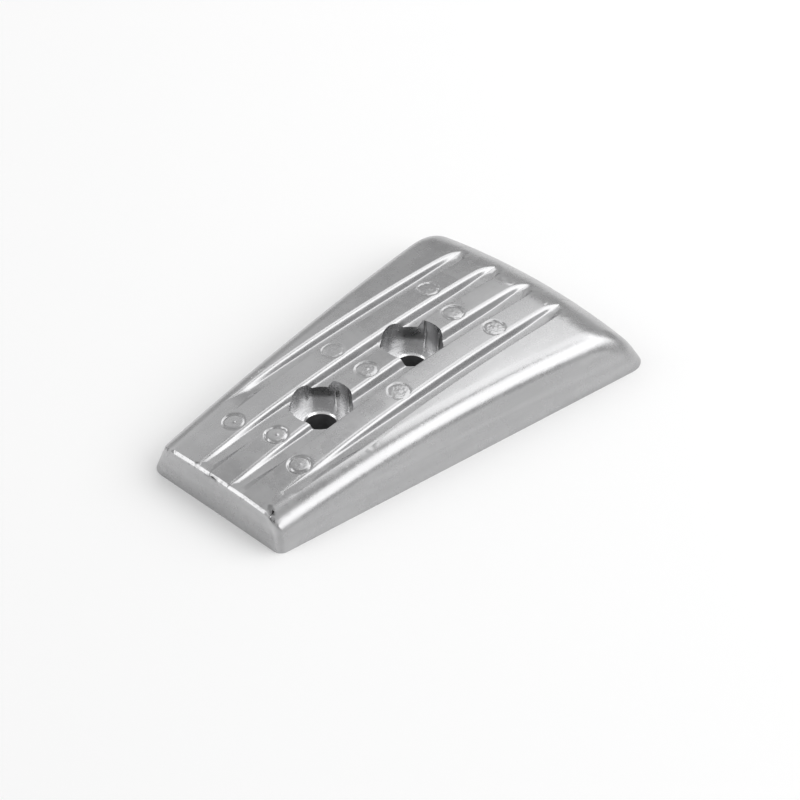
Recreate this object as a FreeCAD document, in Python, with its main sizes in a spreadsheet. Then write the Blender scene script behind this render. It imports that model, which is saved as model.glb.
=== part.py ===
import FreeCAD, Part
import math
import os

import Sketcher

# Sacrificial anode for a stern drive: one flat metal casting, wedge shaped in plan.
# X runs across it, Y from the narrow front end to the wide bowed rear end, Z up from its flat base.
# The origin is in the middle of the base. All lengths are in millimetres and all angles in degrees.

doc = FreeCAD.newDocument("stern_drive_anode")
sizes = doc.addObject("Spreadsheet::Sheet", "sizes")

DRIVING_SIZES = {
    # Outline of the base
    "overall_length": 158.3,
    "front_width": 59.8,
    "side_angle": 7.1,
    "rear_bow_radius": 273.0,
    # Drafts, measured from upright
    "side_draft": 18.2,
    "front_draft": 11.4,
    "rear_draft": 28.8,
    # Crowned top face
    "crest_height": 19.5,
    "crest_place": 104.4,
    "top_radius": 658.0,
    "crown_radius": 395.0,
    # Rounded edges: the roll of the rear end leaves a band of the rear face under it
    "rear_band_height": 5.6,
    "edge_radius": 8.0,
    "front_corner_radius": 6.0,
    # Spare metal ahead of the front face and above the crest, cut away again
    "front_stock": 6.0,
    "crest_stock": 3.0,
    # Two counterbored bolt holes on the centre line
    "first_hole_place": 47.55,
    "hole_spacing": 42.0,
    "counterbore_width": 20.0,
    "bolt_hole_width": 10.5,
    "seat_height": 8.1,
    "seat_edge_break": 0.5,
    # Four grooves along the top, an inner and an outer pair
    "inner_offset": 7.35,
    "inner_width": 6.2,
    "inner_depth": 3.1,
    "inner_start": -8.0,
    "inner_finish": 145.5,
    "outer_offset": 22.05,
    "outer_width": 5.6,
    "outer_depth": 2.75,
    "outer_start": 13.0,
    "outer_finish": 144.0,
    "deepest_place": 85.0,
    "run_in_power": 2.0,
    "run_out_power": 4.5,
    "groove_lead": 3.0,
    "groove_wall_angle": 65.0,
    "groove_root_radius": 0.9,
    "groove_clearance": 2.0,
    # Round marks of the ejector pins: three rows of three
    "mark_width": 7.2,
    "mark_offset": 15.05,
    "mark_depth": 0.35,
    "deep_mark_depth": 0.9,
}

GROOVES = ("inner", "outer")
SECTIONS_PER_GROOVE = 7

# Rows of ejector marks, from the front edge of the base: the side pair and the one between them.
MARK_ROWS = {
    # name: (place of the pair, place of the middle one)
    "front": (23.3, 27.7),
    "middle": (68.0, 68.5),
    "rear": (113.3, 109.4),
}


def write_cell(alias, content):
    """Put one value or formula in the next row of the sheet, under its name."""
    write_cell.row += 1
    sizes.set("A%d" % write_cell.row, alias)
    sizes.set("B%d" % write_cell.row, str(content))
    sizes.setAlias("B%d" % write_cell.row, alias)


write_cell.row = 0


def top_height(place, offset):
    """Formula for the height of the crowned top face at a place along it and an offset from its centre line."""
    along = "top_radius - sqrt(top_radius^2 - (crest_place - %s)^2)" % place
    across = "crown_radius - sqrt(crown_radius^2 - %s^2)" % offset
    return "=crest_height - (%s) - (%s)" % (along, across)


for alias, value in DRIVING_SIZES.items():
    write_cell(alias, value)

write_cell("half_length", "=overall_length / 2")
write_cell("blank_height", "=crest_height + crest_stock")
write_cell("cutter_rise", "=blank_height")
write_cell("cutter_width", "=overall_length")
write_cell("front_setback", "=blank_height * tan(front_draft * 1deg)")
write_cell("rear_setback", "=blank_height * tan(rear_draft * 1deg)")
write_cell("side_setback", "=blank_height * tan(side_draft * 1deg) / cos(side_angle * 1deg)")
# The rear face and the top meet a little behind the crest; the roll between them fits above the band
write_cell("rear_edge_run", "=overall_length - crest_height * tan(rear_draft * 1deg) - crest_place")
write_cell("rear_edge_height", "=crest_height - top_radius + sqrt(top_radius^2 - rear_edge_run^2)")
write_cell("rear_edge_turn", "=90 - rear_draft - asin(rear_edge_run / top_radius) / 1deg")
write_cell("rear_roll_radius", "=(rear_edge_height - rear_band_height) / cos(rear_draft * 1deg)"
           " / tan(rear_edge_turn * 0.5deg)")
write_cell("stock_width", "=front_width - 2 * front_stock * tan(side_angle * 1deg)")
write_cell("stock_top_width", "=stock_width - 2 * side_setback")
write_cell("trim_top_width", "=front_width + 2 * front_setback * tan(side_angle * 1deg) - 2 * side_setback")
write_cell("second_hole_place", "=first_hole_place + hole_spacing")
write_cell("wall_lean", "=1 / tan(groove_wall_angle * 1deg)")

# A groove is shallow where it starts, deepest part of the way along and runs out more steeply at its finish
for kind in GROOVES:
    for number in range(SECTIONS_PER_GROOVE):
        tail = "%s_%d" % (kind, number)
        share = number / (SECTIONS_PER_GROOVE - 1)
        write_cell("place_" + tail, "=%s_start - groove_lead + %.6f * (%s_finish - %s_start + 2 * groove_lead)"
                   % (kind, share, kind, kind))
        run_in = "((deepest_place - place_%s) / (deepest_place - %s_start))^run_in_power" % (tail, kind)
        run_out = "((place_%s - deepest_place) / (%s_finish - deepest_place))^run_out_power" % (tail, kind)
        write_cell("fade_" + tail, "=place_%s < deepest_place ? %s : %s" % (tail, run_in, run_out))
        write_cell("depth_" + tail, "=%s_depth * (1 - fade_%s)" % (kind, tail))
        write_cell("land_" + tail, top_height("place_" + tail, kind + "_offset"))

for name, (pair_place, middle_place) in MARK_ROWS.items():
    write_cell("pair_place_" + name, pair_place)
    write_cell("middle_place_" + name, middle_place)
    write_cell("pair_land_" + name, top_height("pair_place_" + name, "mark_offset"))
    write_cell("middle_land_" + name, top_height("middle_place_" + name, "0"))

doc.recompute()


def size(alias):
    """Value of a named cell as a plain number."""
    value = sizes.get(alias)
    return float(getattr(value, "Value", value))


body = doc.addObject("PartDesign::Body", "anode_casting")
body.Label = "anode_casting"


def origin_part(role):
    """Plane or axis of the body's own origin, by its role."""
    return next(part for part in body.Origin.OriginFeatures if part.Role == role)


def new_sketch(name, plane, lift="0", rise="0"):
    """Sketch on an origin plane, moved along its normal by lift and along its own upward axis by rise."""
    sketch = body.newObject("Sketcher::SketchObject", name)
    sketch.AttachmentSupport = (origin_part(plane), [""])
    sketch.MapMode = "FlatFace"
    sketch.setExpression("AttachmentOffset.Base.z", lift)
    sketch.setExpression("AttachmentOffset.Base.y", rise)
    return sketch


def bind(sketch, name, formula, *constraint):
    """Add one dimension to a sketch and tie it to the sheet."""
    index = sketch.addConstraint(Sketcher.Constraint(*constraint))
    sketch.renameConstraint(index, name)
    sketch.setExpression("Constraints." + name, formula)


def point(x, y):
    """Point of a sketch."""
    return FreeCAD.Vector(x, y, 0)


def join(sketch, first, first_end, second, second_end, kind="Coincident"):
    """Join the ends of two lines or arcs; kind Tangent also makes them run into each other smoothly."""
    sketch.addConstraint(Sketcher.Constraint(kind, first, first_end, second, second_end))


# How a sketch numbers the ends and the centre of a line or arc, and its own origin and upright axis
START, END, CENTRE = range(1, 4)
ROOT_POINT, Y_LINE = range(-1, -3, -1)


def outline_sketch(name, height, front_width, rear_setback):
    """Wedge outline at a height: straight front, two straight flaring sides and a bowed rear."""
    sketch = new_sketch(name, "XY_Plane", height)
    half = size("half_length")
    bow = size("rear_bow_radius")
    lean = math.tan(math.radians(size("side_angle")))
    corner = size("stock_width") / 2
    front_y = -half - size("front_stock")
    rear = corner + lean * size("overall_length")
    rear_y = half - bow + math.sqrt(bow ** 2 - rear ** 2)
    front_left = point(-corner, front_y)
    front_right = point(corner, front_y)
    rear_right = point(rear, rear_y)
    rear_left = point(-rear, rear_y)
    front_line = sketch.addGeometry(Part.LineSegment(front_left, front_right))
    right_line = sketch.addGeometry(Part.LineSegment(front_right, rear_right))
    rear_arc = sketch.addGeometry(Part.Arc(rear_right, point(0, half), rear_left))
    left_line = sketch.addGeometry(Part.LineSegment(rear_left, front_left))
    join(sketch, front_line, END, right_line, START)
    join(sketch, right_line, END, rear_arc, START)
    join(sketch, rear_arc, END, left_line, START)
    join(sketch, left_line, END, front_line, START)
    sketch.addConstraint(Sketcher.Constraint("Symmetric", front_line, START, front_line, END, Y_LINE))
    sketch.addConstraint(Sketcher.Constraint("Symmetric", right_line, END, left_line, START, Y_LINE))
    bind(sketch, "front", front_width, "DistanceX", front_line, START, front_line, END, 2 * corner)
    bind(sketch, "reach", "sizes.half_length + sizes.front_stock",
         "DistanceY", front_line, START, ROOT_POINT, START, -front_y)
    bind(sketch, "flare", "(90 - sizes.side_angle) * 1deg",
         "Angle", right_line, math.radians(90 - size("side_angle")))
    bind(sketch, "bow", "sizes.rear_bow_radius - " + rear_setback, "Radius", rear_arc, bow)
    bind(sketch, "bow_centre", "sizes.rear_bow_radius - sizes.half_length",
         "DistanceY", rear_arc, CENTRE, ROOT_POINT, START, bow - half)
    return sketch


def edge_names(shape, wanted):
    """Names of the edges whose middle point passes a test."""
    names = []
    for number, edge in enumerate(shape.Edges, 1):
        first, last = edge.ParameterRange
        if wanted(edge.valueAt((first + last) / 2)):
            names.append("Edge%d" % number)
    return names


def volume_now():
    """Volume of the body as built so far."""
    doc.recompute()
    return body.Shape.Volume


def finish_cut(feature, before):
    """A cut that points away from the metal removes nothing and shows no error."""
    if volume_now() >= before:
        raise RuntimeError(feature.Label + " removed nothing")


# Drafted blank between the outline of the base and a smaller outline above the crest
base_outline = outline_sketch("base_outline", "0", "sizes.stock_width", "0")
top_outline = outline_sketch("top_outline", "sizes.blank_height", "sizes.stock_top_width",
                             "sizes.rear_setback")
blank = body.newObject("PartDesign::AdditiveLoft", "blank")
blank.Profile = base_outline
blank.Sections = [top_outline]
blank.Ruled = True
blank_volume = volume_now()

# Crowned top face: a shallow arc across, swung about an axis far below the part
crown_profile = new_sketch("crown_profile", "XZ_Plane", "sizes.half_length - sizes.crest_place",
                           "sizes.crest_height - sizes.top_radius")
reach = size("cutter_width") / 2
crown = size("crown_radius")
crown_top = size("top_radius")
arc_low = crown_top - crown + math.sqrt(crown ** 2 - reach ** 2)
lid = crown_top + size("cutter_rise")
crown_arc = crown_profile.addGeometry(
    Part.Arc(point(reach, arc_low), point(0, crown_top), point(-reach, arc_low)))
left_side = crown_profile.addGeometry(Part.LineSegment(point(-reach, arc_low), point(-reach, lid)))
lid_line = crown_profile.addGeometry(Part.LineSegment(point(-reach, lid), point(reach, lid)))
right_side = crown_profile.addGeometry(Part.LineSegment(point(reach, lid), point(reach, arc_low)))
join(crown_profile, crown_arc, END, left_side, START)
join(crown_profile, left_side, END, lid_line, START)
join(crown_profile, lid_line, END, right_side, START)
join(crown_profile, right_side, END, crown_arc, START)
crown_profile.addConstraint(Sketcher.Constraint("Vertical", left_side))
crown_profile.addConstraint(Sketcher.Constraint("Symmetric", lid_line, START, lid_line, END, Y_LINE))
crown_profile.addConstraint(Sketcher.Constraint("Symmetric", crown_arc, START, crown_arc, END, Y_LINE))
bind(crown_profile, "width", "sizes.cutter_width", "DistanceX", lid_line, START, lid_line, END, 2 * reach)
bind(crown_profile, "rise", "sizes.top_radius + sizes.cutter_rise",
     "DistanceY", ROOT_POINT, START, lid_line, START, lid)
bind(crown_profile, "crown", "sizes.crown_radius", "Radius", crown_arc, crown)
bind(crown_profile, "crown_centre", "sizes.top_radius - sizes.crown_radius",
     "DistanceY", ROOT_POINT, START, crown_arc, CENTRE, crown_top - crown)
top_cut = body.newObject("PartDesign::Groove", "top_cut")
top_cut.Profile = crown_profile
top_cut.ReferenceAxis = (crown_profile, ["H_Axis"])
top_cut.Midplane = True
top_cut.setExpression("Angle", "4 * asin(sizes.overall_length / sizes.top_radius)")
finish_cut(top_cut, blank_volume)

half_length = size("half_length")


def dress_edges(kind, name, extent, wanted):
    """Round or break the edges that pass a test, and what runs on smoothly from them."""
    before = volume_now()
    bare = body.Tip
    names = edge_names(bare.Shape, wanted)
    if not names:
        raise RuntimeError(name + " found no edge")
    dressing = body.newObject("PartDesign::" + kind, name)
    dressing.Base = (bare, names)
    dressing.setExpression("Radius" if kind == "Fillet" else "Size", extent)
    finish_cut(dressing, before)
    return dressing


# Rear end rolled over, then the side edges, which run on over the roll and down the rear corners
above_base = size("seat_height") / 2
rear_roll = dress_edges("Fillet", "rear_roll", "sizes.rear_roll_radius",
                        lambda p: p.z > above_base and p.y > half_length / 2 and abs(p.x) < 1)
side_rounds = dress_edges("Fillet", "side_rounds", "sizes.edge_radius",
                          lambda p: p.z > above_base and abs(p.y) < half_length / 2 and abs(p.x) > 1)


def trim_sketch(name, height, front_width, front_setback):
    """Everything ahead of the front face at a height: the straight face and its two rounded corners."""
    sketch = new_sketch(name, "XY_Plane", height)
    flare = math.radians(size("side_angle"))
    radius = size("front_corner_radius")
    front_y = -size("half_length")
    turn = math.pi / 2 - flare
    trim = radius * math.tan(turn / 2)
    corner = size("front_width") / 2
    side_x = corner + trim * math.sin(flare)
    side_y = front_y + trim * math.cos(flare)
    mid_x = corner - trim + radius * math.sin(turn / 2)
    mid_y = front_y + radius * (1 - math.cos(turn / 2))
    far_x = size("overall_length") / 2
    far_y = -size("overall_length")
    outline = [
        Part.LineSegment(point(trim - corner, front_y), point(corner - trim, front_y)),
        Part.Arc(point(corner - trim, front_y), point(mid_x, mid_y), point(side_x, side_y)),
        Part.LineSegment(point(side_x, side_y), point(far_x, side_y)),
        Part.LineSegment(point(far_x, side_y), point(far_x, far_y)),
        Part.LineSegment(point(far_x, far_y), point(-far_x, far_y)),
        Part.LineSegment(point(-far_x, far_y), point(-far_x, side_y)),
        Part.LineSegment(point(-far_x, side_y), point(-side_x, side_y)),
        Part.Arc(point(-side_x, side_y), point(-mid_x, mid_y), point(trim - corner, front_y)),
    ]
    lines = [sketch.addGeometry(line) for line in outline]
    face, right_corner, right_step, right_wall, far_line, left_wall, left_step, left_corner = lines
    join(sketch, face, END, right_corner, START, "Tangent")
    join(sketch, left_corner, END, face, START, "Tangent")
    join(sketch, right_corner, END, right_step, START)
    join(sketch, right_step, END, right_wall, START)
    join(sketch, right_wall, END, far_line, START)
    join(sketch, far_line, END, left_wall, START)
    join(sketch, left_wall, END, left_step, START)
    join(sketch, left_step, END, left_corner, START)
    sketch.addConstraint(Sketcher.Constraint("Horizontal", right_step))
    sketch.addConstraint(Sketcher.Constraint("Vertical", right_wall))
    for first, first_end, second, second_end in (
            (face, START, face, END), (left_corner, START, right_corner, END),
            (left_step, START, right_step, END), (far_line, START, far_line, END)):
        sketch.addConstraint(Sketcher.Constraint("Symmetric", first, first_end, second, second_end, Y_LINE))
    bind(sketch, "radius", "sizes.front_corner_radius", "Radius", right_corner, radius)
    trim_formula = "sizes.front_corner_radius * tan((90 - sizes.side_angle) * 0.5deg)"
    bind(sketch, "face_width", "%s - 2 * %s" % (front_width, trim_formula),
         "DistanceX", face, START, face, END, 2 * (corner - trim))
    bind(sketch, "step", trim_formula + " * cos(sizes.side_angle * 1deg)",
         "DistanceY", face, END, right_corner, END, side_y - front_y)
    bind(sketch, "setback", "sizes.half_length - " + front_setback,
         "DistanceY", face, START, ROOT_POINT, START, -front_y)
    bind(sketch, "far_width", "sizes.overall_length", "DistanceX", far_line, END, far_line, START, 2 * far_x)
    bind(sketch, "far_reach", "sizes.overall_length",
         "DistanceY", far_line, START, ROOT_POINT, START, -far_y)
    return sketch


# Front end trimmed back to its drafted face; its top edge and the ends of the side rounds stay sharp
before = volume_now()
front_trim = body.newObject("PartDesign::SubtractiveLoft", "front_trim")
front_trim.Profile = trim_sketch("trim_base", "0", "sizes.front_width", "0")
front_trim.Sections = [trim_sketch("trim_top", "sizes.blank_height", "sizes.trim_top_width",
                                   "sizes.front_setback")]
front_trim.Ruled = True
finish_cut(front_trim, before)


def circle_sketch(name, lift, circles):
    """Sketch of round outlines: each circle is (place along the part, offset across it, width)."""
    sketch = new_sketch(name, "XY_Plane", lift)
    for number, (place, offset, width) in enumerate(circles, 1):
        centre = point(sketch_value(offset), sketch_value(place) - half_length)
        ring = sketch.addGeometry(Part.Circle(centre, FreeCAD.Vector(0, 0, 1), sketch_value(width) / 2))
        bind(sketch, "width_%d" % number, "sizes." + width, "Diameter", ring, sketch_value(width))
        bind(sketch, "place_%d" % number, "sizes.%s - sizes.half_length" % place,
             "DistanceY", ROOT_POINT, START, ring, CENTRE, centre.y)
        if offset == "0":
            sketch.addConstraint(Sketcher.Constraint("PointOnObject", ring, CENTRE, Y_LINE))
        elif offset.startswith("-"):
            bind(sketch, "offset_%d" % number, "sizes." + offset[1:],
                 "DistanceX", ring, CENTRE, ROOT_POINT, START, -centre.x)
        else:
            bind(sketch, "offset_%d" % number, "sizes." + offset,
                 "DistanceX", ROOT_POINT, START, ring, CENTRE, centre.x)
    return sketch


def sketch_value(word):
    """Number behind a sheet name, which may carry a minus sign or be plain zero."""
    if word == "0":
        return 0.0
    if word.startswith("-"):
        return -size(word[1:])
    return size(word)


def cut_upward(name, sketch):
    """Pocket from the sketch up through everything above it."""
    before = volume_now()
    cut = body.newObject("PartDesign::Pocket", name)
    cut.Profile = sketch
    cut.Type = "ThroughAll"
    cut.Reversed = True
    finish_cut(cut, before)
    return cut


# Flat bolt seats sunk from the top, and the bolt holes through the floor under them
seat = cut_upward("seat", circle_sketch("seat_circle", "sizes.seat_height",
                                        [("first_hole_place", "0", "counterbore_width")]))
bolt_hole = cut_upward("bolt_hole", circle_sketch("bolt_circle", "0",
                                                  [("first_hole_place", "0", "bolt_hole_width")]))
before = volume_now()
second_hole = body.newObject("PartDesign::LinearPattern", "second_hole")
second_hole.Originals = [seat, bolt_hole]
second_hole.Direction = (origin_part("Y_Axis"), [""])
second_hole.Occurrences = 2
second_hole.setExpression("Length", "sizes.hole_spacing")
body.Tip = second_hole
finish_cut(second_hole, before)

# Rims of the bolt holes broken on the seats
bolt_radius = size("bolt_hole_width") / 2
seat_height = size("seat_height")
dress_edges("Chamfer", "seat_edge_break", "sizes.seat_edge_break",
            lambda p: abs(p.z - seat_height) < 0.01 and math.isclose(
                min(math.hypot(p.x, p.y - size(place) + half_length)
                    for place in ("first_hole_place", "second_hole_place")), bolt_radius, abs_tol=0.01))


def groove_section(kind, number):
    """Cross-section of one groove at a station: sloping walls, rounded roots and a flat floor."""
    tail = "%s_%d" % (kind, number)
    sketch = new_sketch("section_" + tail, "XZ_Plane", "sizes.half_length - sizes.place_" + tail)
    offset = size(kind + "_offset")
    land = size("land_" + tail)
    floor = land - size("depth_" + tail)
    lid_height = land + size("groove_clearance")
    lean = size("wall_lean")
    root = size("groove_root_radius")
    angle = math.radians(size("groove_wall_angle"))
    half_lid = size(kind + "_width") / 2 + lean * size("groove_clearance")
    half_floor = half_lid - lean * (lid_height - floor)
    trim = root * math.tan(angle / 2)
    wall_x = half_floor + trim * math.cos(angle)
    wall_z = floor + trim * math.sin(angle)
    bisector = root * (1 - math.cos(angle / 2))
    mid_x = half_floor - trim + root * math.sin(angle / 2)
    mid_z = floor + bisector

    def at(x, z):
        return point(offset + x, z)

    lines = [
        Part.LineSegment(at(trim - half_floor, floor), at(half_floor - trim, floor)),
        Part.Arc(at(half_floor - trim, floor), at(mid_x, mid_z), at(wall_x, wall_z)),
        Part.LineSegment(at(wall_x, wall_z), at(half_lid, lid_height)),
        Part.LineSegment(at(half_lid, lid_height), at(-half_lid, lid_height)),
        Part.LineSegment(at(-half_lid, lid_height), at(-wall_x, wall_z)),
        Part.Arc(at(-wall_x, wall_z), at(-mid_x, mid_z), at(trim - half_floor, floor)),
    ]
    floor_line, right_root, right_wall, lid_line, left_wall, left_root = [
        sketch.addGeometry(line) for line in lines]
    join(sketch, floor_line, END, right_root, START, "Tangent")
    join(sketch, right_root, END, right_wall, START, "Tangent")
    join(sketch, right_wall, END, lid_line, START)
    join(sketch, lid_line, END, left_wall, START)
    join(sketch, left_wall, END, left_root, START, "Tangent")
    join(sketch, left_root, END, floor_line, START, "Tangent")
    sketch.addConstraint(Sketcher.Constraint("Horizontal", floor_line))
    sketch.addConstraint(Sketcher.Constraint("Horizontal", lid_line))
    sketch.addConstraint(Sketcher.Constraint("Equal", right_root, left_root))
    half_lid_formula = "(sizes.%s_width / 2 + sizes.wall_lean * sizes.groove_clearance)" % kind
    bind(sketch, "right_edge", "sizes.%s_offset + %s" % (kind, half_lid_formula),
         "DistanceX", ROOT_POINT, START, right_wall, END, offset + half_lid)
    bind(sketch, "lid_width", "2 * " + half_lid_formula, "DistanceX", lid_line, END, lid_line, START, 2 * half_lid)
    bind(sketch, "lid_height", "sizes.land_%s + sizes.groove_clearance" % tail,
         "DistanceY", ROOT_POINT, START, lid_line, START, lid_height)
    bind(sketch, "floor_height", "sizes.land_%s - sizes.depth_%s" % (tail, tail),
         "DistanceY", ROOT_POINT, START, floor_line, START, floor)
    bind(sketch, "root", "sizes.groove_root_radius", "Radius", right_root, root)
    bind(sketch, "right_slope", "sizes.groove_wall_angle * 1deg", "Angle", right_wall, angle)
    bind(sketch, "left_slope", "-sizes.groove_wall_angle * 1deg", "Angle", left_wall, -angle)
    return sketch


def groove(kind):
    """One groove cut through its sections, on the right of the centre line."""
    before = volume_now()
    sections = [groove_section(kind, number) for number in range(SECTIONS_PER_GROOVE)]
    cut = body.newObject("PartDesign::SubtractiveLoft", kind + "_groove")
    cut.Profile = sections[0]
    cut.Sections = sections[1:]
    finish_cut(cut, before)
    return cut


grooves = [groove(kind) for kind in GROOVES]
before = volume_now()
left_grooves = body.newObject("PartDesign::Mirrored", "left_grooves")
left_grooves.Originals = grooves
left_grooves.MirrorPlane = (origin_part("YZ_Plane"), [""])
body.Tip = left_grooves
finish_cut(left_grooves, before)


# Ejector marks: flat round discs, level although the top face slopes under them
for name in MARK_ROWS:
    middle_depth = "deep_mark_depth" if name == "front" else "mark_depth"
    cut_upward(name + "_side_marks", circle_sketch(
        name + "_side_circles", "sizes.pair_land_%s - sizes.mark_depth" % name,
        [("pair_place_" + name, "mark_offset", "mark_width"),
         ("pair_place_" + name, "-mark_offset", "mark_width")]))
    cut_upward(name + "_middle_mark", circle_sketch(
        name + "_middle_circle", "sizes.middle_land_%s - sizes.%s" % (name, middle_depth),
        [("middle_place_" + name, "0", "mark_width")]))

doc.recompute()
for item in doc.Objects:
    if "Invalid" in item.State or "Error" in item.State:
        raise RuntimeError(item.Label + " did not build: " + str(item.State))
    if item.TypeId.startswith(("PartDesign::", "Sketcher::")) and item.Shape.isNull():
        raise RuntimeError(item.Label + " has no shape")
casting = body.Shape
if not casting.isValid() or len(casting.Solids) != 1:
    raise RuntimeError("the casting is not one sound solid")

os.makedirs("parts", exist_ok=True)
casting.exportStep("parts/anode_casting.step")
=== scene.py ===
import math

import bmesh
import bpy
from mathutils import Matrix, Vector
from mathutils.bvhtree import BVHTree
from mathutils.noise import noise


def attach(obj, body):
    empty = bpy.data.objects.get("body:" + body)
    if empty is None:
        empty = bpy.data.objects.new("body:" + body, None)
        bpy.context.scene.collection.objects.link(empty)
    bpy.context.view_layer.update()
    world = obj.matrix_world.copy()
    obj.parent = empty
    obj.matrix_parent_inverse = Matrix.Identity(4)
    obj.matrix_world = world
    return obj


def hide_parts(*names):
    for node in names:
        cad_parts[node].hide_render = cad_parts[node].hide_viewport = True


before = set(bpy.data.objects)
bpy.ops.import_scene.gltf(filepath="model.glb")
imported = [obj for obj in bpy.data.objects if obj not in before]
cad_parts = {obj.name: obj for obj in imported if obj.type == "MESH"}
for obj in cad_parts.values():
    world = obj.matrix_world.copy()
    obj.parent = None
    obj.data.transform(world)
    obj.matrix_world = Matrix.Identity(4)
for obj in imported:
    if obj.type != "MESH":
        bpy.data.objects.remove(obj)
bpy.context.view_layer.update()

MM = 0.001

# The casting's lengths, in millimetres, with x from the centre line and y from the middle of the base
FRONT = -79.15
FRONT_DRAFT = math.tan(math.radians(11.4))
HALF_FRONT = 29.9
SIDE_ANGLE, SIDE_DRAFT = math.radians(7.1), math.radians(18.2)
SIDE_ROUND = 8.0
CREST_HEIGHT, CREST_Y = 19.5, 25.25
TOP_RADIUS, CROWN_RADIUS = 658.0, 395.0
TOP_LEVEL = 9.0
ROLL_Y = 45.0
CORNER_RADIUS, SHARP_CORNER_RADIUS = 6.0, 3.0
EDGE_BREAK = 0.7

# Bolt holes on the centre line, with their seats and counterbores
HOLES = (-31.6, 10.4)
HOLE_RADIUS = 5.25
COUNTERBORE_RADIUS, RIM_RADIUS, RIM_REACH = 10.0, 10.5, 12.5
SEAT_HEIGHT, REAR_SEAT_LIFT, WALL_HEIGHT = 8.1, 0.6, 9.2
WALL_LEAN, CHAMFER_LEAN = 0.054, 0.7

# Grooves, with their walls, lips and roots
GROOVES = (  # offset, half width, depth, start, finish
    (7.35, 3.1, 3.1, -87.15, 66.35),
    (22.05, 2.8, 2.75, -66.15, 64.85),
)
DEEPEST_Y = 5.85
FRONT_FADE = (FRONT + 2.9, FRONT + 6.6)
LEFT_FADE_X, LEFT_FADE = -15, (-54, -36)
BAND = 1.25
PLANNED_DEPTH = 2.6
STEEP_WALL, GENTLE_LEFT_WALL, GENTLE_RIGHT_WALL = 65, 38, 18
GENTLE_DEPTH, STEEP_DEPTH = 0.7, 2.2
LEFT_LIP_RADIUS, RIGHT_LIP_RADIUS, ROOT_RADIUS = 1.7, 0.35, 0.4
FULL_ROUND_DEPTH = 0.5

# Grid that carries the relief of the top; the lip steps count inwards from each groove's nominal lip
GRID_REACH_X, GRID_REACH_Y = 45, 77.75
WIDE_CELL_X, WIDE_CELL_Y = 6.0, 6.22
FINE_CELL_X, FINE_CELL_Y = 2.0, 1.555
LIP_STEPS = (-1.16, -1.083, -0.93, -0.78, -0.62, -0.46, -0.3, -0.14, 0, 0.12, 0.24, 0.35, 0.458,
             0.7, 0.95, 1.105, 1.17, 1.24, 1.32, 1.395, 1.467, 1.8)

# Round marks of the mould's pins
MARKS = (  # x, y, moat, dome, pip, lean to the right, lean to the rear, roughness of the rim
    (-15.05, -55.85, 0.30, 0.02, 0.22, 0.02, -0.02, 0.5),
    (0.0, -51.45, 0.45, 0.10, 0.30, 0.10, 0.05, 0.5),
    (15.05, -55.85, 0.35, 0.22, 0.10, 0.06, 0.0, 0.4),
    (-15.05, -11.15, 0.14, 0.04, 0.05, 0.02, 0.0, 0.8),
    (0.0, -10.65, 0.24, 0.08, 0.22, 0.04, 0.0, 0.5),
    (15.05, -11.15, 0.12, 0.03, 0.05, 0.02, 0.0, 0.8),
    (-15.05, 34.15, 0.22, 0.04, 0.10, 0.03, 0.0, 0.9),
    (0.0, 30.25, 0.28, 0.16, 0.05, 0.04, 0.02, 0.5),
    (15.05, 34.15, 0.18, 0.05, 0.08, 0.02, 0.0, 1.0),
)
MARK_RADIUS, MOAT_WIDTH, PIP_WIDTH = 3.5, 0.42, 0.45
MARK_FACES, MARK_ZONE = 3.75, 5.0

STAINS_AND_PAINTED_LIGHT = (  # centre, inner radius, outer radius, raggedness, lighter or darker
    ((14.3, -22.3, 17.4), 3.2, 5.8, 6, -0.1),
    ((-31, 57, 17), 3, 9, 7, -0.12),
    # The third row is painted light, not a stain: a lighter patch on the front face by the right corner,
    # a painted highlight where the corner's facet catches the light.
    ((24, -78, 8), 1.5, 5, 7, 0.07),
    ((-14, -66, 14.5), 2, 7, 7, 0.05),
)
# Painted light and shade by the front edge, as lines of lighter or darker colour: painted shade in nicks
# along the top's front edge and in the dips where the inner grooves begin, a painted highlight on the
# right front corner's facet, and painted shade on that corner's strip.
PAINTED_FRONT_SHADING = (  # start, end, width, lighter or darker
    # painted shade in nicks along the top's front edge by the right corner
    ((20.6, -74.2, 11.4), (23.4, -75.6, 11.2), 1.3, -0.45),
    ((23.4, -75.6, 11.2), (24.2, -77.2, 10.9), 0.8, -0.4),
    ((24.2, -77.2, 10.9), (28.2, -77.9, 10.0), 1.6, -0.45),
    # painted shade in the small dips where the inner grooves begin
    ((-11.2, -76.1, 11.6), (-10.4, -75.5, 11.7), 0.7, -0.4),
    ((3.7, -76.4, 11.7), (4.4, -75.9, 11.7), 0.7, -0.4),
    # painted highlight on the right front corner's diagonal facet
    ((21.5, -77.4, 10.6), (28.0, -79.0, 4.0), 1.5, 0.1),
    # painted shade on the narrow strip of the right front corner
    ((28.6, -77.4, 9.0), (29.6, -78.2, 1.0), 0.6, -0.12),
)
# Painted unevenness of the highlight along the top's front edge: a line with its start, end and width,
# along which darker and lighter spots break up the edge's highlight.
PAINTED_UNEVEN_EDGE_HIGHLIGHT = ((-26, -77.0, 11.0), (22, -77.0, 11.3), 1.6)

SOFTBOXES = (  # name, bearing, elevation, distance, width, height, power
    ("window_softbox", 35, 37, 1.5, 2.3, 1.0, 13),
    ("overhead_softbox", 104, 54, 1.5, 1.0, 1.0, 4.4),
    ("left_softbox", 160, 38, 1.5, 0.7, 0.55, 0.5),
    ("front_softbox", 228, 36, 1.5, 0.7, 0.7, 2.6),
)


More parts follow.
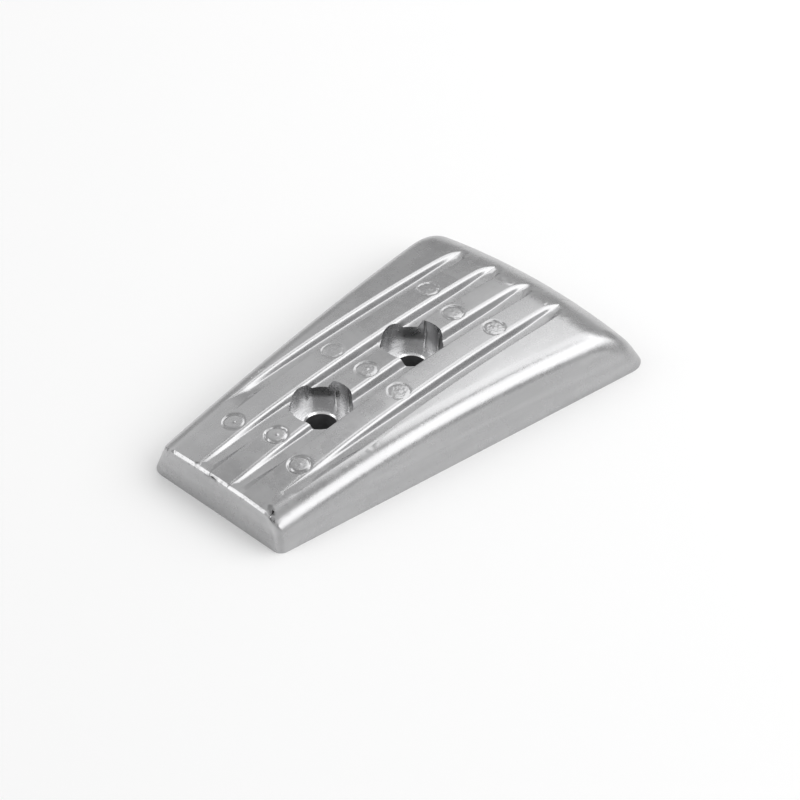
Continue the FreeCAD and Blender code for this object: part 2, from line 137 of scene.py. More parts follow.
def keep_camera():
    """Long lens, looking down on the narrow front end and the right side."""
    azimuth, elevation, roll = math.radians(43.742), math.radians(38.994), math.radians(0.533)
    target, distance = Vector((2.407, 2.584, -0.718)) * MM, 0.95
    back = Vector((math.sin(azimuth) * math.cos(elevation), -math.cos(azimuth) * math.cos(elevation),
                   math.sin(elevation)))
    level = Vector((math.cos(azimuth), math.sin(azimuth), 0))
    lift = back.cross(level)
    right = level * math.cos(roll) + lift * math.sin(roll)
    up = lift * math.cos(roll) - level * math.sin(roll)
    camera = bpy.data.objects.new("camera", bpy.data.cameras.new("camera"))
    bpy.context.scene.collection.objects.link(camera)
    camera.data.sensor_width = 36
    camera.data.lens = 129.24
    camera.data.clip_start = 0.05
    turn = Matrix((right, up, back)).transposed().to_4x4()
    camera.matrix_world = Matrix.Translation(target + back * distance) @ turn
    bpy.context.scene.camera = camera


def soft_light(name, bearing, elevation, distance, width, height, power):
    """Rectangular softbox that faces the casting; bearings go from the right side to the rear."""
    data = bpy.data.lights.new(name, "AREA")
    data.shape = "RECTANGLE"
    data.size = width
    data.size_y = height
    data.energy = power
    light = bpy.data.objects.new(name, data)
    bpy.context.scene.collection.objects.link(light)
    bearing, elevation = math.radians(bearing), math.radians(elevation)
    away = Vector((math.cos(bearing) * math.cos(elevation), math.sin(bearing) * math.cos(elevation),
                   math.sin(elevation)))
    light.location = away * distance
    light.rotation_mode = "QUATERNION"
    light.rotation_quaternion = away.to_track_quat("Z", "Y")


def light_studio():
    """A wide softbox behind the right side, three weaker ones and a pale room all round."""
    for softbox in SOFTBOXES:
        soft_light(*softbox)
    world = bpy.data.worlds.new("pale_room")
    bpy.context.scene.world = world
    world.use_nodes = True
    tree = world.node_tree
    split = add(tree, "SeparateXYZ")
    tree.links.new(tree.nodes.new("ShaderNodeTexCoord").outputs["Generated"], split.inputs[0])
    room = tree.nodes["Background"]
    room.inputs["Color"].default_value = (1, 1, 1, 1)
    tree.links.new(remap(tree, split.outputs["Z"], 0.5, 1.0, 0.56, 0.5), room.inputs["Strength"])


def new_material(name):
    """Material with its node tree and its surface shader."""
    material = bpy.data.materials.new(name)
    material.use_nodes = True
    tree = material.node_tree
    return material, tree, tree.nodes["Principled BSDF"]


def lay_floor():
    """Plain pale floor, a hair above the plane of the base so that the two never share it."""
    mesh = bpy.data.meshes.new("floor")
    shape = bmesh.new()
    bmesh.ops.create_grid(shape, x_segments=1, y_segments=1, size=4)
    for vertex in shape.verts:
        vertex.co.z = 0.01 * MM
    shape.to_mesh(mesh)
    shape.free()
    floor = bpy.data.objects.new("floor", mesh)
    bpy.context.scene.collection.objects.link(floor)
    material, _, surface = new_material("pale_floor")
    surface.inputs["Base Color"].default_value = (0.985, 0.985, 0.985, 1)
    surface.inputs["Roughness"].default_value = 0.9
    mesh.materials.append(material)


def add(tree, kind, **settings):
    """New node with its settings."""
    node = tree.nodes.new("ShaderNode" + kind)
    for name, value in settings.items():
        setattr(node, name, value)
    return node


def fill(tree, socket, value):
    """Gives a socket a number, or links another node's output to it."""
    if isinstance(value, bpy.types.NodeSocket):
        tree.links.new(value, socket)
    else:
        socket.default_value = value


def set_inputs(tree, node, **values):
    """Fills a node's inputs by name."""
    for name, value in values.items():
        fill(tree, node.inputs[name], value)


def noise_field(tree, place, scale, detail, roughness=0.55, distortion=0.0):
    """Cloudy noise, as a value between 0 and 1."""
    node = add(tree, "TexNoise")
    set_inputs(tree, node, Vector=place, Scale=scale, Detail=detail, Roughness=roughness,
               Distortion=distortion)
    return node.outputs["Fac"]


def remap(tree, value, low, high, to_low, to_high):
    """Smooth step of a value from one span to another."""
    node = add(tree, "MapRange", interpolation_type="SMOOTHSTEP")
    fill(tree, node.inputs["Value"], value)
    for index, number in enumerate((low, high, to_low, to_high)):
        node.inputs[1 + index].default_value = number
    return node.outputs["Result"]


def combine(tree, operation, first, second=0.0):
    """One step of arithmetic on two values."""
    node = add(tree, "Math", operation=operation)
    fill(tree, node.inputs[0], first)
    fill(tree, node.inputs[1], second)
    return node.outputs[0]


def total(tree, *parts):
    """All the parts added up."""
    result = parts[0]
    for part in parts[1:]:
        result = combine(tree, "ADD", result, part)
    return result


def times(tree, first, second):
    """Two values multiplied."""
    return combine(tree, "MULTIPLY", first, second)


def stretched(tree, place, scale):
    """The place on the surface, scaled by its own factor along each axis."""
    node = add(tree, "Mapping")
    set_inputs(tree, node, Vector=place, Scale=scale)
    return node.outputs["Vector"]


def surface_place(tree):
    """The place on the casting, in its own frame."""
    return tree.nodes.new("ShaderNodeTexCoord").outputs["Object"]


def group_sockets(group, inputs, outputs):
    """Gives a shared effect its inputs and outputs."""
    for name, kind, value in inputs:
        socket = group.interface.new_socket(name=name, in_out="INPUT", socket_type=kind)
        if value is not None:
            socket.default_value = value
    for name in outputs:
        group.interface.new_socket(name=name, in_out="OUTPUT", socket_type="NodeSocketFloat")


def casting_grain():
    """Shared grain of cast metal: cloudy tone, patchy gloss and a fine pitted relief."""
    group = bpy.data.node_groups.new("casting_grain", "ShaderNodeTree")
    group_sockets(group, [("Place", "NodeSocketVector", None), ("Clouds", "NodeSocketFloat", 0.08),
                          ("Grain", "NodeSocketFloat", 0.5)], ["Tone", "Gloss", "Relief"])
    start = group.nodes.new("NodeGroupInput")
    end = group.nodes.new("NodeGroupOutput")
    place = start.outputs["Place"]
    clouds = noise_field(group, place, 75, 5, 0.62, 0.4)
    specks = noise_field(group, place, 380, 3, 0.6)
    drawn = noise_field(group, stretched(group, place, (420, 34, 420)), 1, 4, 0.6)
    tone = total(group, remap(group, clouds, 0.3, 0.7, -1, 1),
                 times(group, remap(group, specks, 0.35, 0.65, -1, 1), 0.45),
                 times(group, remap(group, drawn, 0.35, 0.65, -1, 1), 0.5))
    tone = total(group, 1.0, times(group, tone, start.outputs["Clouds"]))
    gloss = total(group, remap(group, clouds, 0.3, 0.75, -0.03, 0.03),
                  remap(group, specks, 0.35, 0.65, -0.012, 0.012))
    fine = noise_field(group, place, 2300, 3, 0.6)
    pits = add(group, "TexVoronoi", feature="F1")
    set_inputs(group, pits, Vector=place, Scale=640)
    pits = remap(group, pits.outputs["Distance"], 0.05, 0.22, 0, 1)
    relief = total(group, times(group, fine, start.outputs["Grain"]), times(group, specks, 0.35),
                   times(group, pits, 0.02), times(group, drawn, 0.35))
    for name, value in (("Tone", tone), ("Gloss", gloss), ("Relief", relief)):
        group.links.new(value, end.inputs[name])
    return group


def place_grain(tree, group, place, clouds, grain):
    """The shared grain, at a strength of its own."""
    node = tree.nodes.new("ShaderNodeGroup")
    node.node_tree = group
    set_inputs(tree, node, Place=place, Clouds=clouds, Grain=grain)
    return node


def dress(tree, surface, colour, roughness, skin, tone, relief, distance):
    """Links tone, gloss and relief to the surface; the relief's distance is in metres."""
    shade = add(tree, "VectorMath", operation="SCALE")
    shade.inputs[0].default_value = colour
    tree.links.new(tone, shade.inputs["Scale"])
    tree.links.new(shade.outputs["Vector"], surface.inputs["Base Color"])
    tree.links.new(total(tree, roughness, skin.outputs["Gloss"]), surface.inputs["Roughness"])
    bump = add(tree, "Bump")
    set_inputs(tree, bump, Height=relief, Distance=distance, Strength=1.0)
    tree.links.new(bump.outputs["Normal"], surface.inputs["Normal"])


def ragged_edge(tree, place, distance, scale, detail, roughness, ragged):
    """A distance made uneven by fine noise."""
    uneven = combine(tree, "SUBTRACT", noise_field(tree, place, scale, detail, roughness), 0.5)
    return total(tree, distance, times(tree, uneven, ragged * MM))


def soft_patch(tree, place, centre, inner, outer, ragged):
    """1 inside a ragged round patch of the surface and 0 outside it."""
    away = add(tree, "VectorMath", operation="DISTANCE")
    tree.links.new(place, away.inputs[0])
    away.inputs[1].default_value = Vector(centre) * MM
    edge = ragged_edge(tree, place, away.outputs["Value"], 260, 4, 0.65, ragged)
    return remap(tree, edge, inner * MM, outer * MM, 1, 0)


def crease(tree, place, start, end, width, ragged):
    """1 along a ragged line between two places of the surface and 0 beside it."""
    start, end = Vector(start) * MM, Vector(end) * MM
    offset = add(tree, "VectorMath", operation="SUBTRACT")
    tree.links.new(place, offset.inputs[0])
    offset.inputs[1].default_value = start
    along = add(tree, "VectorMath", operation="DOT_PRODUCT")
    tree.links.new(offset.outputs["Vector"], along.inputs[0])
    along.inputs[1].default_value = (end - start) / (end - start).length_squared
    share = add(tree, "Clamp")
    tree.links.new(along.outputs["Value"], share.inputs["Value"])
    nearest = add(tree, "VectorMath", operation="SCALE")
    nearest.inputs[0].default_value = end - start
    tree.links.new(share.outputs["Result"], nearest.inputs["Scale"])
    away = add(tree, "VectorMath", operation="DISTANCE")
    tree.links.new(offset.outputs["Vector"], away.inputs[0])
    tree.links.new(nearest.outputs["Vector"], away.inputs[1])
    edge = ragged_edge(tree, place, away.outputs["Value"], 700, 3, 0.6, ragged)
    return remap(tree, edge, 0.35 * width * MM, width * MM, 1, 0)


def cast_metal(grain):
    """Bare satin casting: mottled grey skin with fine grain, drawn streaks and stains, with painted
    shade in nicks and dips by the front edge, painted highlights on the right front corner's facet,
    painted shade on that corner's strip, and a painted, uneven highlight along the front edge.
    """
    material, tree, surface = new_material("cast_metal")
    place = surface_place(tree)
    skin = place_grain(tree, grain, place, 0.03, 0.25)
    bands = noise_field(tree, stretched(tree, place, (45, 11, 330)), 1, 2, 0.5)
    bands = remap(tree, bands, 0.3, 0.7, -0.045, 0.045)
    # Real stains, with painted light and shade by the front edge mixed in: the lighter facet patch and
    # lines, and the darker nicks, dips and corner strip.
    stains_and_painted_shading = [times(tree, soft_patch(tree, place, *patch), strength) for *patch, strength in STAINS_AND_PAINTED_LIGHT]
    stains_and_painted_shading += [times(tree, crease(tree, place, *line, 1.2), strength) for *line, strength in PAINTED_FRONT_SHADING]
    # Painted unevenness of the front edge's highlight: darker and lighter spots along the chamfer.
    uneven_edge_highlight = times(tree, crease(tree, place, *PAINTED_UNEVEN_EDGE_HIGHLIGHT, 0.6),
                 remap(tree, noise_field(tree, place, 420, 3, 0.7), 0.36, 0.56, -0.3, 0.1))
    tone = total(tree, skin.outputs["Tone"], bands, uneven_edge_highlight, total(tree, *stains_and_painted_shading))
    rough_place = soft_patch(tree, place, (37, 50, 17.5), 6, 17, 14)
    rough_skin = times(tree, noise_field(tree, place, 1100, 3, 0.7), 1.6)
    relief = total(tree, skin.outputs["Relief"], times(tree, rough_place, rough_skin))
    surface.inputs["Metallic"].default_value = 1.0
    dress(tree, surface, (0.46, 0.46, 0.465), 0.28, skin, tone, relief, 0.000012)
    return material


def faced_seat(grain):
    """Bolt seats faced with a turning tool: fine rings round each hole."""
    material, tree, surface = new_material("faced_seat")
    place = surface_place(tree)
    split = add(tree, "SeparateXYZ")
    tree.links.new(place, split.inputs[0])
    across, lengthwise, height = (split.outputs[axis] for axis in "XYZ")
    front_hole, rear_hole = HOLES
    at_rear = combine(tree, "GREATER_THAN", lengthwise, (front_hole + rear_hole) / 2 * MM)
    centre = total(tree, front_hole * MM, times(tree, at_rear, (rear_hole - front_hole) * MM))
    along = combine(tree, "SUBTRACT", lengthwise, centre)
    square = total(tree, times(tree, across, across), times(tree, along, along))
    flat = add(tree, "CombineXYZ")
    set_inputs(tree, flat, X=combine(tree, "SQRT", square))
    on_seat = combine(tree, "LESS_THAN", height, (SEAT_HEIGHT + 0.9) * MM)
    rings = times(tree, noise_field(tree, flat.outputs[0], 3800, 2, 0.5), on_seat)
    skin = place_grain(tree, grain, place, 0.03, 0.12)
    relief = total(tree, times(tree, rings, 9.0), skin.outputs["Relief"])
    surface.inputs["Metallic"].default_value = 1.0
    dress(tree, surface, (0.9, 0.9, 0.905), 0.26, skin, skin.outputs["Tone"], relief, 0.00001)
    return material


def painted_shade_hole_wall(grain):
    """Bolt-hole walls painted dark, dull and barely reflecting: painted shade for the depth of the
    holes.
    """
    material, tree, surface = new_material("painted_shade_hole_wall")
    skin = place_grain(tree, grain, surface_place(tree), 0.15, 0.8)
    surface.inputs["Specular IOR Level"].default_value = 0.1
    dress(tree, surface, (0.11, 0.11, 0.112), 0.8, skin, skin.outputs["Tone"],
          skin.outputs["Relief"], 0.00003)
    return material


def smooth_share(value, low, high):
    """Smooth step from 0 at the low value to 1 at the high one."""
    share = min(1.0, max(0.0, (value - low) / (high - low)))
    return share * share * (3 - 2 * share)


def land_height(x, y):
    """Height of the plain crowned top."""
    return (CREST_HEIGHT - TOP_RADIUS + math.sqrt(TOP_RADIUS ** 2 - (y - CREST_Y) ** 2)
            - CROWN_RADIUS + math.sqrt(CROWN_RADIUS ** 2 - x * x))


def groove_depth(groove, y):
    """Depth of a groove's floor below the plain top."""
    _, _, depth, start, finish = groove
    if y < DEEPEST_Y:
        full = depth * (1 - ((DEEPEST_Y - y) / (DEEPEST_Y - start)) ** 2)
        return full * smooth_share(y, *FRONT_FADE) if full > 0 else full
    return depth * (1 - ((y - DEEPEST_Y) / (finish - DEEPEST_Y)) ** 4.5)


def side_drop(x, y):
    """How far the long round between top and side has fallen below the plain top."""
    x = abs(x)
    inward = (HALF_FRONT + (y - FRONT) * math.tan(SIDE_ANGLE) - x) * math.cos(SIDE_ANGLE)
    middle_in = inward
    for _ in range(3):
        low = land_height(x - (middle_in - inward) / math.cos(SIDE_ANGLE), y) - SIDE_ROUND
        middle_in = low * math.tan(SIDE_DRAFT) + SIDE_ROUND / math.cos(SIDE_DRAFT)
    beyond = middle_in - inward
    if beyond < SIDE_ROUND * x / CROWN_RADIUS:
        return 0.0
    return max(0.0, land_height(x, y) - low - math.sqrt(max(0.0, SIDE_ROUND ** 2 - beyond ** 2)))


def own_groove(x):
    """The groove whose strip of the top holds this place, if any."""
    for groove in GROOVES:
        if abs(abs(x) - groove[0]) < groove[1] + BAND + 0.001:
            return groove
    return None


def wall_angle(depth, across):
    """Slope of a groove's wall: gentle where the groove is shallow, most of all on its right side."""
    shallow = GENTLE_LEFT_WALL if across < 0 else GENTLE_RIGHT_WALL
    steepness = smooth_share(depth, GENTLE_DEPTH, STEEP_DEPTH)
    return math.radians(shallow + (STEEP_WALL - shallow) * steepness)


def round_reach(radius, depth, across):
    """How far a rounding between wall and flat reaches over the flat."""
    return radius * min(1.0, depth / FULL_ROUND_DEPTH) * math.tan(wall_angle(depth, across) / 2)


def lip_reach(depth, across):
    """How far a lip's rounding reaches over the land; the right lips are nearly sharp."""
    return round_reach(LEFT_LIP_RADIUS if across < 0 else RIGHT_LIP_RADIUS, depth, across)


def root_reach(depth, across):
    """How far a root's rounding reaches over the floor."""
    return round_reach(ROOT_RADIUS, depth, across)


class Top:
    """Heights of the casting's top: crowned land, rear roll, and grooves with rounded lips and roots."""

    def __init__(self, tree):
        self.tree = tree
        self.seen = {}

    def roll_drop(self, x, y):
        """How far the rear roll has fallen below the plain top beside a groove."""
        if y < ROLL_Y:
            return 0.0
        key = (round(x, 3), round(y, 3))
        if key not in self.seen:
            hit = self.tree.ray_cast(Vector((x, y, 60)) * MM, Vector((0, 0, -1)))[0]
            drop = land_height(x, y) - hit.z / MM if hit else 9.0
            self.seen[key] = drop * smooth_share(drop, 0.01, 0.03)
        return self.seen[key]

    def section(self, x, y):
        """The plain surface here and the groove's lip: its height, its place and the depth below it."""
        groove = own_groove(x)
        offset, half = math.copysign(groove[0], x), groove[1]
        across = x - offset
        edge_low = self.roll_drop(offset - half - BAND, y)
        edge_high = self.roll_drop(offset + half + BAND, y)
        share = (across + half + BAND) / (2 * (half + BAND))
        base = land_height(x, y) - (edge_low + (edge_high - edge_low) * share) - side_drop(x, y)
        middle = land_height(offset, y)
        side = offset + math.copysign(half, across)
        lip = land_height(side, y) - (edge_low if across < 0 else edge_high) - side_drop(side, y)
        depth = lip - (middle - groove_depth(groove, y))
        if x < LEFT_FADE_X:
            depth *= smooth_share(y, *LEFT_FADE)
        inset = half - (middle - lip) / math.tan(wall_angle(depth, across))
        return offset, half, across, base, lip, depth, inset

    def follow(self, x, y):
        """Where a grid line that follows the lip and the root of its groove crosses this place."""
        offset, half, across, base, lip, depth, inset = self.section(x, y)
        if depth < 0.03:
            return x
        inward = inset - abs(across)
        if inward < -BAND or abs(across) > half + BAND - 0.002:
            return x
        planned, actual = [-BAND], [-BAND]
        for places, deep in ((planned, PLANNED_DEPTH), (actual, depth)):
            angle = wall_angle(deep, across)
            lip_run, root_run = lip_reach(deep, across), root_reach(deep, across)
            foot = deep / math.tan(angle)
            places += [-lip_run, math.cos(angle) * lip_run, foot - math.cos(angle) * root_run,
                       foot + root_run, max(half, foot + root_run + 0.01)]
        for index in range(5):
            if inward < planned[index + 1]:
                share = (inward - planned[index]) / (planned[index + 1] - planned[index])
                moved = actual[index] + share * (actual[index + 1] - actual[index])
                return offset + math.copysign(max(0.0, min(half + BAND, inset - moved)), across)
        return x

    def height(self, x, y):
        """Height inside a groove's strip of the top."""
        offset, half, across, base, lip, depth, inset = self.section(x, y)
        if depth < 0.02:
            return base
        angle = wall_angle(depth, across)
        inward = inset - abs(across)
        reach = lip_reach(depth, across)
        radius = reach / math.tan(angle / 2)
        if inward < -reach:
            height = base
        elif inward < math.cos(angle) * reach:
            height = base - radius + math.sqrt(radius ** 2 - (inward + reach) ** 2)
        else:
            height = base - inward * math.tan(angle)
        reach = root_reach(depth, across)
        radius = reach / math.tan(angle / 2)
        foot = depth / math.tan(angle)
        if inward > foot + reach:
            height = lip - depth
        elif inward > foot - math.cos(angle) * reach:
            root = lip - depth + radius - math.sqrt(radius ** 2 - (foot + reach - inward) ** 2)
            height = max(height, root)
        return height


def mark_at(x, y, reach):
    """Whether a pin mark's middle is nearer than this."""
    return any((x - mark[0]) ** 2 + (y - mark[1]) ** 2 < reach * reach for mark in MARKS)


def mark_height(x, y):
    """Low relief of the nearest pin mark: a soft ring-shaped moat round a faintly domed disc."""
    for mark_x, mark_y, moat, dome, pip, lean_x, lean_y, ragged in MARKS:
        dx, dy = x - mark_x, y - mark_y
        radius = math.hypot(dx, dy)
        if radius > MARK_ZONE:
            continue
        turn = Vector((dx, dy, 0)).normalized() if radius > 0 else Vector((0, 0, 0))
        wobble = noise(turn * 1.6 + Vector((mark_x, mark_y, 0.3)))
        rim = MARK_RADIUS * (1 + 0.06 * ragged * wobble)
        strength = 1 + 0.9 * ragged * noise(turn * 2.3 + Vector((mark_y, mark_x, 2.1)))
        height = -1.0 * moat * strength * math.exp(-((radius - rim) / MOAT_WIDTH) ** 2)
        inside = 1 - smooth_share(radius, rim - 0.7, rim)
        lean = (lean_x * dx + lean_y * dy) * -0.3
        height += inside * (dome * (1 - (radius / rim) ** 4) + lean - 0.06)
        height += pip * math.exp(-(radius / PIP_WIDTH) ** 2)
        height += 0.05 * ragged * inside * noise(Vector((x * 1.3, y * 1.3, mark_x)))
        return height
    return 0.0


def open_rim(x, y, z):
    """Draws the top outwards round the counterbores, whose walls open a little towards their rims."""
    for hole_y in HOLES:
        radius = math.hypot(x, y - hole_y)
        if COUNTERBORE_RADIUS - 0.5 < radius < RIM_REACH:
            opened = (RIM_RADIUS - COUNTERBORE_RADIUS) * (z - SEAT_HEIGHT) / WALL_HEIGHT
            rim = COUNTERBORE_RADIUS + opened
            share = (RIM_REACH - rim) / (RIM_REACH - COUNTERBORE_RADIUS)
            moved = rim + max(0.0, radius - COUNTERBORE_RADIUS) * share
            return x * moved / radius, hole_y + (y - hole_y) * moved / radius
    return x, y


def sharpen_corner(shape):
    """Draws the right front corner out to a smaller radius."""
    turn = math.pi / 2 - SIDE_ANGLE
    for vertex in shape.verts:
        x, y, z = vertex.co / MM
        if y > FRONT + 10 or x < 15:
            continue
        corner_x = (HALF_FRONT + z * FRONT_DRAFT * math.tan(SIDE_ANGLE)
                    - z * math.tan(SIDE_DRAFT) / math.cos(SIDE_ANGLE))
        corner_y = FRONT + z * FRONT_DRAFT
        centre_x, centre_y = corner_x - CORNER_RADIUS * math.tan(turn / 2), corner_y + CORNER_RADIUS
        away = Vector((x - centre_x, y - centre_y))
        angle = math.atan2(away.x, -away.y)
        if abs(away.length - CORNER_RADIUS) < 0.12 and -0.02 < angle < turn + 0.02:
            spread = Vector((math.sin(turn / 2), -math.cos(turn / 2))) / math.cos(turn / 2)
            moved = ((CORNER_RADIUS - SHARP_CORNER_RADIUS)
                     * (spread - Vector((math.sin(angle), -math.cos(angle)))))
            x, y = x + moved.x, y + moved.y
            if z > 4:
                z = min(z, land_height(x, y) - side_drop(x, y))
            vertex.co = Vector((x, y, z)) * MM


def once(parts):
    """Each edge or point once, in the order in which it comes first."""
    return list(dict.fromkeys(parts))


def cut_lines(shape, faces, axis, places):
    """Cuts faces of the casting along straight lines across one axis."""
    normal = Vector((0, 0, 0))
    normal[axis] = 1
    geometry = list(faces)
    geometry += once(edge for face in faces for edge in face.edges)
    geometry += once(vertex for face in faces for vertex in face.verts)
    for place in places:
        geometry = bmesh.ops.bisect_plane(shape, geom=geometry, dist=2e-6,
                                          plane_co=normal * (place * MM), plane_no=normal)["geom"]


def spaced(low, high, step):
    """Places from low to high, about a step apart."""
    count = int(round((high - low) / step))
    return [low + (high - low) * index / count for index in range(count + 1)]


def top_faces(shape, top_layer):
    """The faces that are marked as land, groove or pin mark."""
    return [face for face in shape.faces if face[top_layer]]


def land_faces(shape, top_layer):
    """The marked faces outside the grooves' strips."""
    return [face for face in top_faces(shape, top_layer)
            if not own_groove(face.calc_center_median().x / MM)]


def deepest_corner(face):
    """How far a face's lowest corner lies below the plain top."""
    return max(land_height(v.co.x / MM, v.co.y / MM) - v.co.z / MM for v in face.verts)


def mark_top(shape, top_layer, strip_edges):
    """Marks the faces of the land, the grooves and the pin marks, without the rounds beside them."""
    for face in shape.faces:
        centre = face.calc_center_median() / MM
        if centre.z < TOP_LEVEL:
            continue
        on_top = mark_at(centre.x, centre.y, MARK_FACES)
        if not on_top and face.normal.z > 0.25:
            on_top = bool(own_groove(centre.x)) or deepest_corner(face) < 0.006
        face[top_layer] = int(on_top)
    high = [face for face in shape.faces if face.calc_center_median().z > TOP_LEVEL * MM]
    cut_lines(shape, high, 0, sorted(strip_edges))
    shape.normal_update()
    for face in shape.faces:
        centre = face.calc_center_median() / MM
        strip = own_groove(centre.x)
        if centre.z > TOP_LEVEL and face.normal.z > 0.25 and strip:
            face[top_layer] = 1
        elif face[top_layer] and not strip and not mark_at(centre.x, centre.y, MARK_FACES):
            face[top_layer] = int(deepest_corner(face) < 0.2)


def clear_facets(shape, top_layer, x_places, y_places):
    """Takes out the old facet edges of the top that lie between the cut lines."""
    keys = [{round(place * 500) for place in places} for places in (x_places, y_places)]

    def on_line(edge):
        a, b = (vertex.co / MM for vertex in edge.verts)
        for axis in (0, 1):
            key = round(a[axis] * 500)
            if abs(a[axis] - b[axis]) < 0.004 and not keys[axis].isdisjoint((key - 1, key, key + 1)):
                return True
        return False

    loose = [edge for edge in shape.edges if len(edge.link_faces) == 2
             and all(face[top_layer] for face in edge.link_faces) and not on_line(edge)]
    bmesh.ops.dissolve_edges(shape, edges=loose, use_verts=True, use_face_split=False)


def cut_grid(shape, top_layer, strip_edges):
    """Wide cells first, cleared of the old facets, then the fine grid of the grooves and marks."""
    wide_y = spaced(-GRID_REACH_Y, GRID_REACH_Y, WIDE_CELL_Y)
    wide_x = [line for line in spaced(-GRID_REACH_X, GRID_REACH_X, WIDE_CELL_X) if not own_groove(line)]
    cut_lines(shape, top_faces(shape, top_layer), 1, wide_y)
    cut_lines(shape, land_faces(shape, top_layer), 0, wide_x)
    shape.normal_update()
    clear_facets(shape, top_layer, wide_x + strip_edges, wide_y)
    many_sided = [face for face in top_faces(shape, top_layer) if len(face.verts) > 4]
    bmesh.ops.triangulate(shape, faces=many_sided)
    x_lines, y_lines = wide_x + strip_edges, list(wide_y)
    for index in (0, 1, 3):
        fresh = [line + (index - 2) * FINE_CELL_Y for line in wide_y[1:]]
        cut_lines(shape, top_faces(shape, top_layer), 1, fresh)
        y_lines += fresh
    for offset, half, *_ in GROOVES:
        for middle in (-offset, offset):
            fresh = {middle + sign * (half - step) for sign in (-1, 1) for step in LIP_STEPS}
            fresh = sorted(fresh | {middle})
            cut_lines(shape, [face for face in top_faces(shape, top_layer)
                              if abs(face.calc_center_median().x / MM - middle) < half + BAND], 0, fresh)
            x_lines += fresh
    fresh = [line for line in spaced(-GRID_REACH_X, GRID_REACH_X, FINE_CELL_X)
             if not own_groove(line) and min(abs(line - wide) for wide in wide_x) > 0.1]
    cut_lines(shape, land_faces(shape, top_layer), 0, fresh)
    shape.normal_update()
    clear_facets(shape, top_layer, x_lines + fresh, y_lines)
    fine_edges = []
    for face in top_faces(shape, top_layer):
        centre = face.calc_center_median() / MM
        if len(face.verts) == 4 and mark_at(centre.x, centre.y, MARK_ZONE):
            fine_edges += [edge for edge in face.edges if edge.calc_length() / MM > 0.5]
    bmesh.ops.subdivide_edges(shape, edges=once(fine_edges), cuts=7, use_grid_fill=True)


def shape_top(shape, top_layer, top):
    """Sets every point of the top to its height, with the grid lines drawn along lips and roots."""
    for vertex in once(vertex for face in top_faces(shape, top_layer) for vertex in face.verts):
        x, y, z = vertex.co / MM
        x, y = open_rim(x, y, z)
        vertex.co.x, vertex.co.y = x * MM, y * MM
        if own_groove(x):
            if all(math.hypot(x, y - hole_y) >= RIM_RADIUS + 0.05 for hole_y in HOLES):
                x = top.follow(x, y)
                vertex.co.x = x * MM
            height = top.height(x, y)
        else:
            height = land_height(x, y)
        height += mark_height(x, y)
        if abs(FRONT + z * FRONT_DRAFT - y) < 0.03:
            vertex.co.y = (FRONT + height * FRONT_DRAFT) * MM
        vertex.co.z = height * MM
    edges = once(edge for face in top_faces(shape, top_layer) for edge in face.edges)
    bmesh.ops.dissolve_degenerate(shape, edges=edges, dist=0.01 * MM)
    shape.normal_update()


def lift_rear_seat(shape):
    """Raises the rear seat, which lies a little higher than the front one."""
    for vertex in shape.verts:
        x, y, z = vertex.co / MM
        if math.hypot(x, y - HOLES[1]) < COUNTERBORE_RADIUS + 0.1 and 7.4 < z < 8.3:
            vertex.co.z += REAR_SEAT_LIFT * MM


def break_front_edge(shape, top_layer):
    """Sharpens the right front corner and chamfers the top's front edge."""
    front_edge = [edge for edge in shape.edges if len(edge.link_faces) == 2
                  and sorted(face[top_layer] for face in edge.link_faces) == [0, 1]
                  and min(face.normal.y for face in edge.link_faces) < -0.9
                  and max(vertex.co.y for vertex in edge.verts) < (FRONT + 5) * MM]
    sharpen_corner(shape)
    bmesh.ops.bevel(shape, geom=front_edge, offset=EDGE_BREAK * MM, offset_type="OFFSET",
                    affect="EDGES", segments=1, profile=0.5, clamp_overlap=False, material=-1)
    shape.normal_update()


def smooth_faces(shape):
    """Smooth rounds, with a flat base and clear edges."""
    for face in shape.faces:
        face.smooth = face.normal.z > -0.99
    for edge in shape.edges:
        if len(edge.link_faces) == 2 and edge.calc_face_angle(0) > math.radians(28):
            edge.smooth = False


def choose_materials(shape):
    """Gives the seats and counterbores the second material and the bolt holes the third."""
    for face in shape.faces:
        centre = face.calc_center_median() / MM
        for hole_y in HOLES:
            radius = math.hypot(centre.x, centre.y - hole_y)
            on_wall = radius < COUNTERBORE_RADIUS + 0.05 and face.normal.z < 0.99
            if on_wall or (radius < COUNTERBORE_RADIUS - 0.1 and centre.z > SEAT_HEIGHT - 0.1):
                face.material_index = 1
            if radius < HOLE_RADIUS + 0.1 and 0.1 < centre.z < SEAT_HEIGHT - 0.45:
                face.material_index = 2


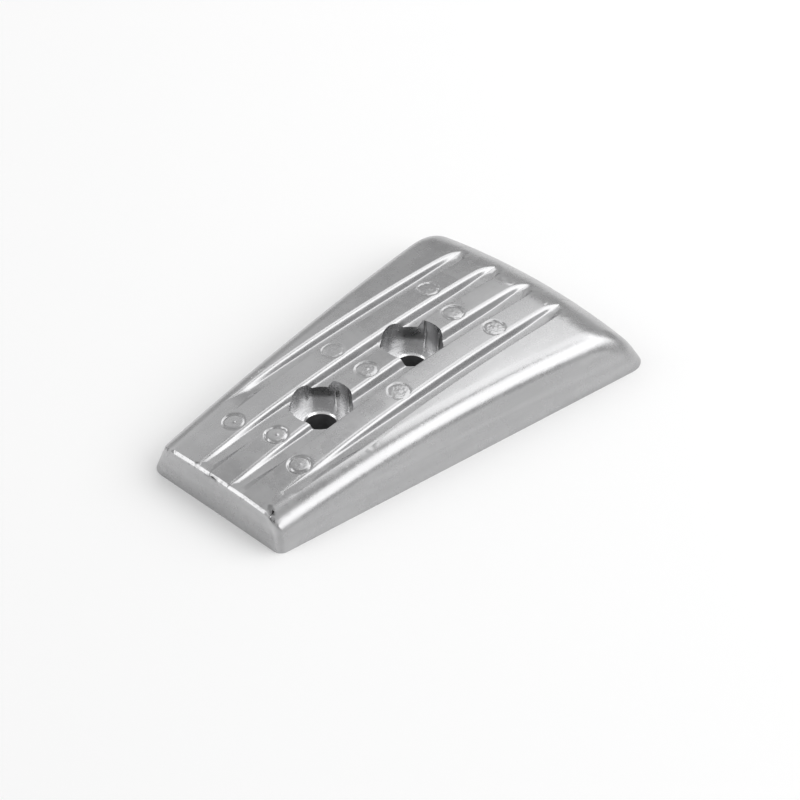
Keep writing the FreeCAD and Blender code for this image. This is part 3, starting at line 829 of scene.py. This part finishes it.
def round_walls(mesh):
    """Gives the walls of the counterbores and of the bolt holes the shading of true rounds."""
    normals = [corner.vector.copy() for corner in mesh.corner_normals]
    for face in mesh.polygons:
        if face.material_index == 0 or abs(face.normal.z) > 0.9:
            continue
        lean = WALL_LEAN if face.normal.z < 0.3 else CHAMFER_LEAN
        for index in face.loop_indices:
            place = mesh.vertices[mesh.loops[index].vertex_index].co / MM
            hole_y = min(HOLES, key=lambda centre: abs(place.y - centre))
            inward = Vector((-place.x, hole_y - place.y, 0)).normalized() * math.sqrt(1 - lean ** 2)
            normals[index] = inward + Vector((0, 0, lean))
    mesh.normals_split_custom_set(normals)


def casting_skin():
    """The casting's own surface, with clean facets, rounded groove lips, and a broken front edge."""
    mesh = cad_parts["anode_casting"].data.copy()
    mesh.name = "anode_skin"
    if "custom_normal" in mesh.attributes:
        mesh.attributes.remove(mesh.attributes["custom_normal"])
    shape = bmesh.new()
    shape.from_mesh(mesh)
    bmesh.ops.remove_doubles(shape, verts=shape.verts, dist=0.002 * MM)
    bmesh.ops.dissolve_degenerate(shape, edges=shape.edges, dist=0.005 * MM)
    shape.normal_update()
    top = Top(BVHTree.FromBMesh(shape))
    top_layer = shape.faces.layers.int.new("top")
    strip_edges = [side * offset + end * (half + BAND) for offset, half, *_ in GROOVES
                   for side in (-1, 1) for end in (-1, 1)]
    mark_top(shape, top_layer, strip_edges)
    cut_grid(shape, top_layer, strip_edges)
    shape_top(shape, top_layer, top)
    lift_rear_seat(shape)
    break_front_edge(shape, top_layer)
    smooth_faces(shape)
    choose_materials(shape)
    grain = casting_grain()
    mesh.materials.clear()
    for material in (cast_metal(grain), faced_seat(grain), painted_shade_hole_wall(grain)):
        mesh.materials.append(material)
    shape.to_mesh(mesh)
    shape.free()
    round_walls(mesh)
    skin = bpy.data.objects.new("anode_skin", mesh)
    bpy.context.scene.collection.objects.link(skin)
    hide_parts("anode_casting")
    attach(skin, "root")


keep_camera()
light_studio()
lay_floor()
casting_skin()

bpy.context.scene.view_settings.view_transform = "Standard"
